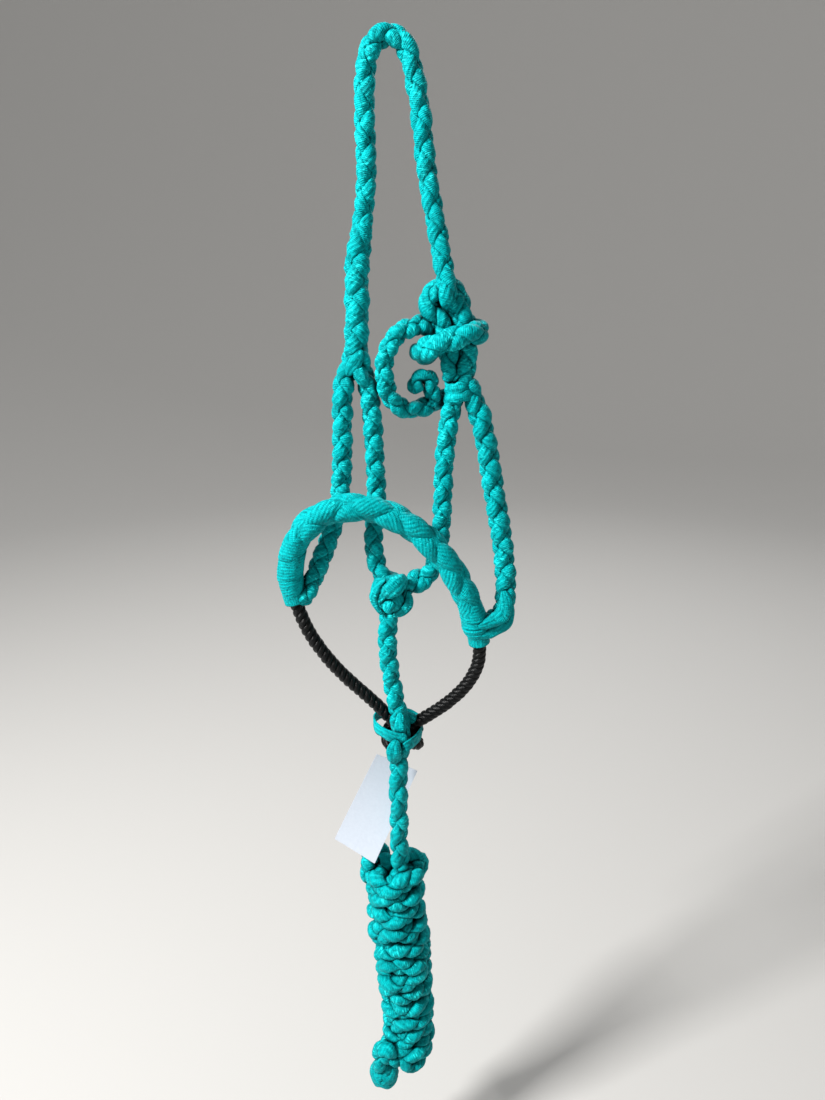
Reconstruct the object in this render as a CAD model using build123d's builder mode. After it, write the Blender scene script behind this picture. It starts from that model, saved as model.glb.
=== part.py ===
"""Rope halter with a stiff noseband and a hanked lead, hanging by its crown strap.

Millimetres. X runs across the halter, +Y points away from the side that faces out, and +Z is up.
The origin is the underside of the crown strap's top bend, where a hook or peg carries the halter.
"""

import os
from math import cos, pi, radians, sin, tan

from build123d import *

os.makedirs("parts", exist_ok=True)

# ---- driving dimensions ----
CROWN_D = 13.5  # four-strand braid over the poll
SPLICE_D = 18.0  # where the strand ends are tucked back, so the braid is doubled
CHEEK_D = 15.0
THROAT_D = 14.5
EYE_D = 12.6  # the eye's braid is pulled tight
TIE_D = 12.5
FOLD_D = 10.6
CHIN_D = 15.0
LARIAT_D = 10.5  # stiff laid rope
COVER_D = 20.5  # tape wound over the stiff rope
WHIPPING_D = 22.0
LEAD_D = 15.5
STRING_D = 1.2
BODY_GAP = 0.4  # left between pieces that turn against each other
ARC_SHARE = 0.45  # of the shorter run, that a corner's arc takes on each side

# ---- the noseband hinge: both cheek ends and the chin knot lie on it ----
LEFT_CHEEK_END = (-59, -5, -366)
RIGHT_CHEEK_END = (85, -5, -396)
CHIN_KNOT_AT = (-3, -5, -377.7)
CHIN_KNOT_R = 14.0

# ---- where the tie's free tail swings from ----
TAIL_HINGE = (16, -2, -172.5)

# ---- the heel: knot, seizing and the lead's collar ----
HEEL_KNOT_AT = (4.5, 10, -511)
HEEL_KNOT_HALF = (17.5, 11.0)  # half its width, half its height
SEIZING_AT = (2.5, 4, -490)
SEIZING_HALF = (12.5, 11.5, 9.5)  # half its width, depth and height
COLLAR_AT = (3.5, 8, -495)
COLLAR_R = 21.0
COLLAR_TAPE = (1.8, 8.0)  # thickness and width of the tape
COLLAR_ROLL = 12  # degrees, with the left side higher

# ---- the lead ----
LEAD_TOP = (3, -13.5, -507.4)
LEAD_NECK_R = 7.6
HANK_PIVOT = (2, -8, -630)
HANK_Y = -1
HANK_DEPTH_RATIO = 0.86

# ---- bound places ----
FORK_AT = (-25, 0, -199)
FORK_HALF = (12.5, 10.0, 7.5)
NECK_AT = (50.5, 1, -209)
NECK_HALF = (14.0, 9.0, 6.0)

# ---- the swing tag ----
TAG_PIVOT = (4, 7, -524)
TAG_TILT = 24.8  # degrees from hanging straight
TAG_SIZE = (38, 92, 0.6)
TAG_HOLE_R = 2.2
TAG_HOLE_IN = 6.0  # from the card's top edge
TAG_STRING_DROP = 15.0
TAG_LEAN = 3.5  # degrees, with the card's foot nearer the front
# the string's loop: across the card, up it, and out of its face
STRING_LOCAL = [
    (-1.5, 0, 0.8), (-2, -7, 1.6), (-0.8, -13.4, 2.2), (0, -15.8, 0), (0.8, -13.4, -2.2),
    (2, -7, -1.6), (1.5, 0, -0.8),
]

# ---- routes, from the fork or the crown downwards ----
CROWN_ROUTE = [
    (-18, 0, -108), (-14, 0, -78), (-15, 0, -38), (-14, 0, -12), (-10, 0, 1),
    (-3, 0, 6.8), (6, 0, 6.8), (13, 0, 1), (17, 0, -11), (22, 0, -36), (26, 0, -76),
    (33, -1, -110), (37, -6, -134), (40, -9, -150),
]
SPLICE_ROUTE = [(-18, 0, -108), (-23, 0, -134), (-23, 0, -166), (-25, 0, -196)]
LEFT_CHEEK_ROUTE = [
    (-27, 0, -196), (-35, 0, -212), (-36, 1, -236), (-37, 2, -268), (-40, 2, -300),
    (-48, 0, -326), (-56, -3, -346), LEFT_CHEEK_END,
]
LEFT_THROAT_ROUTE = [
    (-23, 0, -196), (-17, 0, -212), (-14, 1, -238), (-13, 2, -270), (-12, 2, -302),
    (-16, 1, -328), (-14, -1, -350), (-9, -3, -360),
]
RIGHT_THROAT_ROUTE = [
    (45, 1, -213), (46, 2, -224), (42, 3, -240), (39, 3, -266), (38, 3, -298),
    (37, 3, -324), (34, 1, -348), (25, -2, -363), (13, -4, -371),
]
RIGHT_CHEEK_ROUTE = [
    (56, 1, -204), (59, 1, -219), (65, 1, -236), (71, 1, -262), (77, 0, -298),
    (84, -1, -334), (87, -3, -366), RIGHT_CHEEK_END,
]
EYE_ROUTE = [
    (45, 1, -213), (42, 1, -197), (41, 1, -183), (37, 1, -172), (28, 0, -163),
    (27, 0, -154), (33, 2, -147.5), (43, 3, -147), (49, 1, -153), (50, 0, -164),
    (50.5, 1, -177), (53, 1, -191), (56, 1, -204),
]
TIE_ROUTE = [
    (40, -9, -150), (42, 0, -160), (50, 10, -167), (60, 8, -174), (64, -2, -177),
    (57, -12, -177), (42, -15, -180), (25, -13.5, -186), (15.5, -3, -190),
    (21, 9, -192), (32, 15, -191), (41, 17, -184), (40, 16, -174), (30, 8, -171.5),
    TAIL_HINGE,
]
TAIL_ROUTE = [
    TAIL_HINGE, (4, -7, -177), (-5, -9, -193), (-5, -7, -212), (1, -3, -227),
    (14, 2.5, -233), (28, 10, -230), (41, 16.4, -226), (50, 18, -222),
]
FOLD_ROUTE = [
    (34, 18, -231), (30, 10, -226), (27.6, 4, -218), (27.4, 2, -205.5),
    (15, 2, -205.5), (15, 1.5, -218),
]
CHIN_ROUTE = [
    (-4, -5, -388), (-6, -5, -404), (-6, -4, -424), (-4, -3, -444), (-1, -2, -464),
    (2, 0, -480), (2.5, 2, -489),
]
LARIAT_LEFT = [
    (1, 6, -497), (-6.5, 5.5, -486), (-21.5, 3, -468), (-39, 0, -449), (-55, -4, -427),
    (-70, -7, -400),
]
ARCH_ROUTE = [
    (-80, -10, -362), (-77, -14, -337), (-67, -17.5, -315), (-49, -19, -302),
    (-28, -19, -298.5), (-7, -19, -303), (13, -19, -314.5), (30, -18.5, -330),
    (44, -16.5, -350), (54, -13.5, -370), (62, -11, -390),
]
LARIAT_RIGHT = [
    (69, -7, -428), (60, -3, -453), (44, 0.5, -472), (27, 4, -486), (13, 6.5, -496),
    (6, 8, -503),
]
LEAD_ROUTE = [
    LEAD_TOP, (0, -14.5, -535), (1.5, -13, -568), (0.5, -10.5, -600), HANK_PIVOT,
]
# height, centre across, half width of the wound lead, from its top down
HANK_LEVELS = [
    (-638.5, -1, 20), (-645, -2.5, 26), (-688, -1.5, 28), (-728, 1.5, 28.5),
    (-768, 5.5, 26.5), (-800, 8, 25), (-824, 6.5, 26), (-843, 4, 26), (-850, 3, 21),
]
# the three bends that stand up out of the hank's top: centre, direction across, radius
BIGHTS = [
    ((-24, 11, -642), 60, 7.5),
    ((-9, 4, -641), 20, 7.5),
    ((17, 3, -641), -15, 8.0),
]
BIGHT_D = 12.0
LEAD_END_ROUTE = [(-17, -8, -822), (-21, -11, -840), (-17, -12, -857), (-13, -11, -866)]
LEAD_END_D = 13.0
END_KNOT_AT = (-13, -11, -869)
END_KNOT_HALF = (13.0, 9.0)


def corner_radii(points):
    """The arc at each inner corner, as large as its two runs allow."""
    radii = []
    for before, at, after in zip(points, points[1:], points[2:]):
        run_in = Vector(*at) - Vector(*before)
        run_out = Vector(*after) - Vector(*at)
        half_turn = radians(run_in.get_angle(run_out) / 2)
        radii.append(ARC_SHARE * min(run_in.length, run_out.length) / tan(half_turn))
    return radii


def middle(a, b):
    """The point half way between two points."""
    return tuple((p + q) / 2 for p, q in zip(a, b))


def report(piece, diameter, hole_d, length, radii):
    """Prints how a rope's solid compares with its section times its length, and its bends."""
    section = pi * (diameter**2 - hole_d**2) / 4
    print(
        f"{piece.part.label:15s} length {length:6.1f}  volume ratio "
        f"{piece.part.volume / (section * length):.3f}  radii "
        + " ".join(f"{r:.0f}" for r in radii)
    )


def save(piece, name):
    """Labels a finished piece and writes its file."""
    piece.part.label = name
    export_step(piece.part, f"parts/{name}.step")


def rope(name, points, diameter, hole_d=0, round_ends=(), clear_of=()):
    """A rope of one diameter along straight runs joined by tangent arcs. hole_d bores it for a core,
    round_ends are the points that a dome goes about, and clear_of holds the centre and radius of each
    round piece that turns against it."""
    radii = corner_radii(points)
    with BuildPart() as piece:
        with BuildLine() as route:
            FilletPolyline(*points, radius=radii)
        path = route.wires()[0]
        start = Plane(origin=path @ 0, z_dir=path % 0)
        with BuildSketch(start):
            Circle(diameter / 2)
            if hole_d:
                Circle(hole_d / 2, mode=Mode.SUBTRACT)
        sweep(path=path)
        if round_ends:
            with Locations(*round_ends):
                Sphere(diameter / 2)
        for at, radius in clear_of:
            with Locations(at):
                Sphere(radius + BODY_GAP, mode=Mode.SUBTRACT)
    save(piece, name)
    report(piece, diameter, hole_d, path.length, radii)


def knot(name, at, half_across, half_up):
    """A closed lump of tight turns: half an ellipse spun about the line across through its middle."""
    with BuildPart() as piece:
        with BuildSketch(Plane(origin=at, x_dir=(1, 0, 0), z_dir=(0, -1, 0))):
            Ellipse(half_across, half_up)
            with Locations((0, -half_up)):
                Rectangle(4 * half_across, 2 * half_up, mode=Mode.SUBTRACT)
        revolve(axis=Axis(at, (1, 0, 0)))
    save(piece, name)


def band(name, at, half_across, half_deep, half_up):
    """A bound band round two or more ropes: an upright oval with rounded rims."""
    with BuildPart() as piece:
        with BuildSketch(Plane(origin=(at[0], at[1], at[2] - half_up))):
            Ellipse(half_across, half_deep)
        extrude(amount=2 * half_up)
        fillet(piece.edges(), radius=half_up * 0.7)
    save(piece, name)


# ---- crown, splice and the forked straps ----
rope("crown_strap", CROWN_ROUTE, CROWN_D)
rope("crown_splice", SPLICE_ROUTE, SPLICE_D)
rope("left_cheek", LEFT_CHEEK_ROUTE, CHEEK_D, round_ends=[LEFT_CHEEK_END])
rope("left_throat", LEFT_THROAT_ROUTE, THROAT_D, clear_of=[(CHIN_KNOT_AT, CHIN_KNOT_R)])
rope("right_throat", RIGHT_THROAT_ROUTE, THROAT_D, clear_of=[(CHIN_KNOT_AT, CHIN_KNOT_R)])
rope("right_cheek", RIGHT_CHEEK_ROUTE, CHEEK_D, round_ends=[RIGHT_CHEEK_END])
band("fork_seizing", FORK_AT, *FORK_HALF)

# ---- the tied bend at the end of the crown strap ----
rope("eye_loop", EYE_ROUTE, EYE_D)
band("eye_neck", NECK_AT, *NECK_HALF)
rope("tie_turns", TIE_ROUTE, TIE_D, clear_of=[(TAIL_HINGE, TIE_D / 2)])
rope("tie_tail", TAIL_ROUTE, TIE_D, round_ends=[TAIL_HINGE, TAIL_ROUTE[-1]])
rope("tail_fold", FOLD_ROUTE, FOLD_D, round_ends=[FOLD_ROUTE[-1]])

# ---- noseband: stiff rope, wound cover and bound ends ----
COVER_ROUTE = [
    middle(LARIAT_LEFT[-1], ARCH_ROUTE[0]),
    *ARCH_ROUTE,
    middle(ARCH_ROUTE[-1], LARIAT_RIGHT[0]),
]
rope("lariat_core", LARIAT_LEFT + ARCH_ROUTE + LARIAT_RIGHT, LARIAT_D)
rope("noseband_cover", COVER_ROUTE, COVER_D, hole_d=LARIAT_D)
rope("left_whipping", COVER_ROUTE[:3], WHIPPING_D, hole_d=COVER_D)
rope("right_whipping", COVER_ROUTE[-3:], WHIPPING_D, hole_d=COVER_D)

# ---- chin knot, chin strap and heel ----
with BuildPart() as chin_knot:
    with Locations(CHIN_KNOT_AT):
        Sphere(CHIN_KNOT_R)
save(chin_knot, "chin_knot")
rope("chin_strap", CHIN_ROUTE, CHIN_D)
band("heel_seizing", SEIZING_AT, *SEIZING_HALF)
knot("heel_knot", HEEL_KNOT_AT, *HEEL_KNOT_HALF)

# ---- the lead: tape collar, hanging stretch, hank and knotted end ----
roll = radians(COLLAR_ROLL)
collar_axis = (sin(roll), 0, cos(roll))
with BuildPart() as lead_loop:
    section = Plane(origin=COLLAR_AT, x_dir=(cos(roll), 0, -sin(roll)), z_dir=(0, -1, 0))
    with BuildSketch(section):
        with Locations((COLLAR_R, 0)):
            Rectangle(*COLLAR_TAPE)
    revolve(axis=Axis(COLLAR_AT, collar_axis))
save(lead_loop, "lead_loop")

with BuildPart() as lead_neck:
    with Locations(LEAD_TOP):
        Sphere(LEAD_NECK_R)
save(lead_neck, "lead_neck")

rope("lead_drop", LEAD_ROUTE, LEAD_D, round_ends=[HANK_PIVOT], clear_of=[(LEAD_TOP, LEAD_NECK_R)])

with BuildPart() as lead_hank:
    for height, across, half_width in HANK_LEVELS:
        with BuildSketch(Plane.XY.offset(height)):
            with Locations((across, HANK_Y)):
                Ellipse(half_width, half_width * HANK_DEPTH_RATIO)
    loft()
save(lead_hank, "lead_hank")

with BuildPart() as lead_bights:
    for at, turn, radius in BIGHTS:
        legs = Plane(origin=at, x_dir=(cos(radians(turn)), sin(radians(turn)), 0), z_dir=(
            sin(radians(turn)), -cos(radians(turn)), 0
        ))
        corners = [(-radius, -radius), (-radius, radius), (radius, radius), (radius, -radius)]
        with BuildLine(legs) as bend:
            FilletPolyline(*corners, radius=2 * ARC_SHARE * radius)
        foot = bend.wires()[0]
        with BuildSketch(Plane(origin=foot @ 0, z_dir=foot % 0)):
            Circle(BIGHT_D / 2)
        sweep(path=foot)
save(lead_bights, "lead_bights")

rope("lead_end", LEAD_END_ROUTE, LEAD_END_D)
knot("lead_end_knot", END_KNOT_AT, *END_KNOT_HALF)

# ---- the swing tag: a plain card on a loop of string ----
tilt, lean = radians(TAG_TILT), radians(TAG_LEAN)
card_across = Vector(cos(tilt), 0, -sin(tilt))
card_up = Vector(sin(tilt) * cos(lean), sin(lean), cos(tilt) * cos(lean))
card = Plane(origin=TAG_PIVOT, x_dir=card_across, z_dir=card_across.cross(card_up))
width, height, thickness = TAG_SIZE
with BuildPart() as hang_tag:
    with BuildSketch(card):
        with Locations((0, TAG_HOLE_IN - TAG_STRING_DROP - height / 2)):
            Rectangle(width, height)
        with Locations((0, -TAG_STRING_DROP)):
            Circle(TAG_HOLE_R, mode=Mode.SUBTRACT)
    extrude(amount=thickness / 2, both=True)
save(hang_tag, "hang_tag")

STRING_ROUTE = [tuple(card.from_local_coords(point)) for point in STRING_LOCAL]
rope("tag_string", STRING_ROUTE, STRING_D)
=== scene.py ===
"""Rope halter: braided straps, a plaited noseband, a tied crown and a hanked lead, on the CAD frame.

Metres, in the frame's own axes: +X to the right, +Y away from the side that faces out, +Z up.
"""

from math import atan, cos, pi, radians, sin

import bpy
import numpy as np
from mathutils import Matrix, Vector


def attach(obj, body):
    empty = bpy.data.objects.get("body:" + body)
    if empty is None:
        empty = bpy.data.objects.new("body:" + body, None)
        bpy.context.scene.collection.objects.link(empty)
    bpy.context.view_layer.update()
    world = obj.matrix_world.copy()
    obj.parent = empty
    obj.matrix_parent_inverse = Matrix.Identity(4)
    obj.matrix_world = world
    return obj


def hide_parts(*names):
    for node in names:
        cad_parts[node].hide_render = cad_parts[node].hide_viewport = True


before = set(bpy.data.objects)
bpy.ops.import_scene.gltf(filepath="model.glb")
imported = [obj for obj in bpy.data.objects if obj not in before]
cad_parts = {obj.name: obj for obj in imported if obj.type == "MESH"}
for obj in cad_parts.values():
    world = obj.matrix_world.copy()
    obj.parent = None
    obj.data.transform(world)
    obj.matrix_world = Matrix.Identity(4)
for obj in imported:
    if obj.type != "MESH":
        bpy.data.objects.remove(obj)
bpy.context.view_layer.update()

# ---- routes: the control points of each rope's line ----
KNOT_SEEN_AT = (-0.003, -0.005, -0.372)
TAIL_HINGE = (0.016, -0.002, -0.1725)
LEAD_TOP = (0.003, -0.0135, -0.5074)
HANK_PIVOT = (0.002, -0.008, -0.63)
CROWN_ROUTE = [
    (-0.0215, 0, -0.124), (-0.018, 0, -0.106), (-0.014, 0, -0.078), (-0.015, 0, -0.038), (-0.014, 0, -0.012),
    (-0.010, 0, 0.001), (-0.003, 0, 0.0068), (0.006, 0, 0.0068), (0.013, 0, 0.001),
    (0.017, 0, -0.011), (0.022, 0, -0.036), (0.026, 0, -0.076), (0.033, -0.001, -0.110),
    (0.037, -0.006, -0.134), (0.040, -0.009, -0.150),
]
SPLICE_ROUTE = [
    (-0.0162, 0, -0.098), (-0.019, 0, -0.112), (-0.023, 0, -0.134), (-0.023, 0, -0.166), (-0.025, 0, -0.196),
]
LEFT_CHEEK_ROUTE = [
    (-0.0250, 0, -0.184), (-0.0275, 0, -0.197), (-0.035, 0, -0.212), (-0.036, 0.001, -0.236),
    (-0.037, 0.002, -0.268), (-0.040, 0.002, -0.300), (-0.048, 0, -0.326), (-0.056, -0.003, -0.346),
    (-0.063, -0.006, -0.362), (-0.0685, -0.009, -0.371), (-0.0730, -0.010, -0.379),
]
LEFT_THROAT_ROUTE = [
    (-0.0245, 0, -0.185), (-0.0220, 0, -0.198), (-0.0165, 0, -0.213), (-0.014, 0.001, -0.238),
    (-0.013, 0.002, -0.270), (-0.012, 0.002, -0.302), (-0.016, 0.001, -0.328), (-0.014, -0.001, -0.350),
    (-0.009, -0.003, -0.359), (-0.005, -0.004, -0.368),
]
RIGHT_THROAT_ROUTE = [
    (0.045, 0.001, -0.213), (0.046, 0.002, -0.224), (0.042, 0.003, -0.240), (0.039, 0.003, -0.266),
    (0.038, 0.003, -0.298), (0.037, 0.003, -0.324), (0.034, 0.001, -0.348),
    (0.0265, -0.002, -0.3605), (0.014, -0.004, -0.3655), (0.003, -0.005, -0.3695),
]
RIGHT_CHEEK_ROUTE = [
    (0.052, 0.001, -0.208), (0.058, 0.001, -0.221), (0.065, 0.001, -0.236), (0.071, 0.001, -0.262),
    (0.077, 0, -0.298), (0.084, -0.001, -0.334), (0.0872, -0.003, -0.366), (0.0870, -0.005, -0.384),
    (0.0815, -0.007, -0.3975), (0.064, -0.009, -0.3980),
]
EYE_ROUTE = [
    (0.045, 0.001, -0.213), (0.042, 0.001, -0.197), (0.041, 0.001, -0.183), (0.037, 0.001, -0.172),
    (0.028, 0, -0.163), (0.027, 0, -0.154), (0.033, 0.002, -0.1475), (0.043, 0.003, -0.147),
    (0.049, 0.001, -0.153), (0.050, 0, -0.164), (0.0515, 0.001, -0.177), (0.0555, 0.001, -0.193),
    (0.0535, 0.001, -0.207), (0.048, 0.001, -0.216),
]
TIE_ROUTE = [
    (0.040, -0.009, -0.150), (0.042, 0, -0.160), (0.050, 0.010, -0.167), (0.060, 0.008, -0.174),
    (0.064, -0.002, -0.177), (0.057, -0.012, -0.177), (0.043, -0.0155, -0.180),
    (0.029, -0.0135, -0.186), (0.0205, -0.003, -0.190), (0.024, 0.009, -0.192),
    (0.032, 0.015, -0.191), (0.041, 0.017, -0.184), (0.040, 0.016, -0.174),
    (0.030, 0.008, -0.1715), TAIL_HINGE,
]
TAIL_ROUTE = [
    (0.0205, 0.0015, -0.1715), TAIL_HINGE, (0.004, -0.007, -0.177), (-0.005, -0.009, -0.193),
    (-0.005, -0.007, -0.212), (0.001, -0.003, -0.227), (0.014, 0.0025, -0.233), (0.028, 0.010, -0.230),
    (0.041, 0.0164, -0.226), (0.050, 0.018, -0.222),
]
FOLD_ROUTE = [
    (0.037, 0.018, -0.231), (0.033, 0.010, -0.227), (0.0290, 0.004, -0.219),
    (0.0290, 0.002, -0.2080), (0.0172, 0.002, -0.2080), (0.0170, 0.0015, -0.2205),
]
CHIN_ROUTE = [
    (-0.004, -0.005, -0.382), (-0.006, -0.005, -0.402), (-0.006, -0.004, -0.424),
    (-0.004, -0.003, -0.444), (-0.001, -0.002, -0.464), (0.002, 0, -0.480), (0.003, 0.002, -0.4955),
]
LARIAT_LEFT = [
    (0.001, 0.006, -0.497), (-0.0065, 0.0055, -0.486), (-0.0215, 0.003, -0.468),
    (-0.039, 0, -0.449), (-0.055, -0.004, -0.427), (-0.070, -0.007, -0.400),
]
ARCH_ROUTE = [
    (-0.080, -0.010, -0.362), (-0.077, -0.014, -0.337), (-0.067, -0.0175, -0.315),
    (-0.049, -0.019, -0.302), (-0.028, -0.019, -0.2985), (-0.007, -0.019, -0.303),
    (0.013, -0.019, -0.3145), (0.030, -0.0185, -0.330), (0.044, -0.0165, -0.350),
    (0.054, -0.0135, -0.370), (0.062, -0.011, -0.390),
]
LARIAT_RIGHT = [
    (0.069, -0.007, -0.428), (0.060, -0.003, -0.453), (0.044, 0.0005, -0.472),
    (0.027, 0.004, -0.486), (0.013, 0.0065, -0.496), (0.006, 0.008, -0.503),
]
LEAD_ROUTE = [
    LEAD_TOP, (0, -0.0145, -0.535), (0.0015, -0.013, -0.568), (0.0005, -0.0105, -0.600), HANK_PIVOT,
]

# ---- rope sizes ----
CROWN_D = 0.0135
SPLICE_D = 0.018
CHEEK_D = 0.015
THROAT_D = 0.0145
EYE_D = 0.0126
TIE_D = 0.0125
CHIN_D = 0.015
LARIAT_D = 0.0105
COVER_D = 0.0205
LEAD_D = 0.0155
STRING_D = 0.0012
FULL = 1.13  # a plait's outside, as a share of the rope's own size

RIB_PITCH = 0.0011  # the tape's crosswise ribs
PLEAT_PITCH = 0.0024  # the lengthwise lines that the tape is drawn into
STEP = 0.0009  # between rings along a strand
TAPE_THICK = 0.0015  # of a plaited tape, from its outer face to its inner
WRAP_THICK = 0.0012  # of a tape that is wound round and round
EDGE_DROP = 0.0009  # how far a plaited tape's edges turn in
FRONT = np.array((0.0, -1.0, 0.0))


# ---- lines and frames ----
def even(line, step):
    """The line again, with points at even steps along it."""
    along = np.concatenate([[0], np.cumsum(np.linalg.norm(np.diff(line, axis=0), axis=1))])
    at = np.linspace(0, along[-1], max(8, round(along[-1] / step) + 1))
    return np.stack([np.interp(at, along, line[:, k]) for k in range(3)], axis=1), at


def spline_object(name, points):
    """A curve object with no bevel, whose line is the smooth spline with these control points."""
    data = bpy.data.curves.new(name, "CURVE")
    data.dimensions = "3D"
    data.resolution_u = 24
    spline = data.splines.new("NURBS")
    spline.points.add(len(points) - 1)
    for at, point in zip(spline.points, points):
        at.co = (*point, 1)
    spline.order_u = 3
    spline.use_endpoint_u = True
    return bpy.data.objects.new(name, data)


def smooth_line(points, step=STEP):
    """Points at even steps along the spline with these control points, and how far along each is."""
    holder = spline_object("route", points)
    mesh = bpy.data.meshes.new_from_object(holder)
    line = np.array([v.co for v in mesh.vertices], float)
    bpy.data.meshes.remove(mesh)
    bpy.data.curves.remove(holder.data)
    return even(line, step)


def unit(vectors):
    """Each row with length one."""
    return vectors / np.maximum(np.linalg.norm(vectors, axis=-1, keepdims=True), 1e-12)


def tangents(line):
    """The direction of the line at each of its points."""
    return unit(np.gradient(line, axis=0))


def facing_frame(line, facing=FRONT):
    """A normal and a binormal at each point: the normal keeps looking the facing way."""
    along = tangents(line)
    normal = unit(facing - (along @ facing)[:, None] * along)
    return along, normal, np.cross(along, normal)


def carried_frame(line, facing=FRONT):
    """A normal and a binormal at each point, carried along the line without twist."""
    along = tangents(line)
    normal = np.zeros_like(line)
    last = np.array(facing, float)
    for i, direction in enumerate(along):
        last = last - (last @ direction) * direction
        last = last / np.linalg.norm(last)
        normal[i] = last
    return along, normal, np.cross(along, normal)


def ripple(along, waves, seed):
    """A smooth uneven wave along a rope, about -1 to 1: waves holds its wavelengths in metres."""
    random = np.random.default_rng(seed)
    total = sum(np.sin(2 * pi * along / w + random.uniform(0, 2 * pi)) for w in waves)
    return total / len(waves)


# ---- meshes from rings ----
class Sheath:
    """Collects closed tubes, each a grid of rings, into one mesh with a lay map in millimetres."""

    def __init__(self):
        self.points, self.faces, self.maps = [], [], []
        self.count = 0

    def tube(self, rings, lengthwise, around, ring_shaped=False):
        """Adds a tube: rings is (n, m, 3), lengthwise (n,) and around (m + 1,) are map positions. A ring
        shaped one joins its last ring to its first; any other is closed by a fan at each end."""
        n, m = rings.shape[:2]
        first = self.count
        i, j = np.meshgrid(np.arange(n if ring_shaped else n - 1), np.arange(m), indexing="ij")
        after, onward = (j + 1) % m, (i + 1) % n
        quads = np.stack([i * m + j, i * m + after, onward * m + after, onward * m + j], axis=-1)
        ahead = np.append(lengthwise, lengthwise[-1] + lengthwise[1] - lengthwise[0])
        u0, u1, v0, v1 = ahead[i], ahead[i + 1], around[j], around[j + 1]
        self.faces.append((first + quads).reshape(-1, 4))
        self.maps.append(
            np.stack([[u0, v0], [u0, v1], [u1, v1], [u1, v0]], axis=0).transpose(2, 3, 0, 1).reshape(-1, 4, 2)
        )
        self.points.append(rings.reshape(-1, 3))
        self.count += n * m
        if ring_shaped:
            return
        self.points.append(np.stack([rings[0].mean(0), rings[-1].mean(0)]))
        self.count += 2
        k = np.arange(m)
        for tip, ring, flip in ((n * m, 0, True), (n * m + 1, n - 1, False)):
            a, b = ring * m + k, ring * m + (k + 1) % m
            if flip:
                a, b = b, a
            self.faces.append(first + np.stack([a, b, np.full(m, tip)], axis=-1))
            u = np.full(m, lengthwise[ring])
            self.maps.append(
                np.stack([[u, around[k]], [u, around[k + 1]], [u, around[k]]], axis=0).transpose(2, 0, 1)
            )

    def object(self, name, material):
        """The finished object, with its lay map as a UV map in millimetres."""
        points = np.concatenate(self.points)
        sizes = np.concatenate([np.full(len(f), f.shape[1]) for f in self.faces])
        corners = np.concatenate([f.ravel() for f in self.faces])
        starts = np.concatenate([[0], np.cumsum(sizes)[:-1]])
        mesh = bpy.data.meshes.new(name)
        mesh.vertices.add(len(points))
        mesh.vertices.foreach_set("co", points.astype(np.float32).ravel())
        mesh.loops.add(len(corners))
        mesh.loops.foreach_set("vertex_index", corners.astype(np.int32))
        mesh.polygons.add(len(sizes))
        mesh.polygons.foreach_set("loop_start", starts.astype(np.int32))
        lay = mesh.uv_layers.new(name="lay")
        flat = np.concatenate([m.reshape(-1, 2) for m in self.maps]) * 1000
        lay.data.foreach_set("uv", flat.astype(np.float32).ravel())
        mesh.polygons.foreach_set("use_smooth", np.ones(len(sizes), bool))
        mesh.update(calc_edges=True)
        mesh.validate()
        mesh.materials.append(material)
        obj = bpy.data.objects.new(name, mesh)
        bpy.context.scene.collection.objects.link(obj)
        return obj


def tape_bundle(sheath, centre, outward, half_width, half_depth, seed, closed_ends=True):
    """Sweeps a crushed flat tape along a line. Outward is the side that shows; the sizes may vary."""
    around = 20
    along = tangents(centre)
    out = unit(outward - (along * outward).sum(1)[:, None] * along)
    side = np.cross(along, out)
    gone = np.concatenate([[0], np.cumsum(np.linalg.norm(np.diff(centre, axis=0), axis=1))])
    width = np.broadcast_to(half_width, gone.shape).copy()
    depth = np.broadcast_to(half_depth, gone.shape).copy()
    if closed_ends:
        rounding = float(width.mean())
        near = np.minimum(gone, gone[-1] - gone) / rounding
        shrink = np.sqrt(np.clip(1 - (1 - np.clip(near, 0, 1)) ** 2, 0.02, 1))
        width, depth = width * shrink, depth * shrink
    turn = np.arange(around) * 2 * pi / around
    drift = ripple(gone, (0.031, 0.017), seed)
    creases = 0.0
    for folds, height in ((3, 0.07), (4, 0.10), (7, 0.05)):
        wander = ripple(gone, (0.023, 0.041), seed + folds)
        wave = folds * turn[None] + (2.1 * wander + 0.7 * folds)[:, None]
        creases = creases + height * (1 - 2 * np.abs(np.sin(0.5 * wave)))
    bulge = 1 + 0.9 * creases + 0.05 * drift[:, None]
    c, s = np.cos(turn), np.sin(turn)
    across = np.sign(c) * np.abs(c) ** 0.85
    up = np.sign(s) * np.abs(s) ** 0.95
    rings = (
        centre[:, None]
        + (width[:, None] * across * bulge)[..., None] * side[:, None]
        + (depth[:, None] * up * bulge)[..., None] * out[:, None]
    )
    reach = float(width.mean() + depth.mean()) * pi / 2
    sheath.tube(rings, gone + 0.037 * seed, np.linspace(0, 2 * reach, around + 1))


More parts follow.
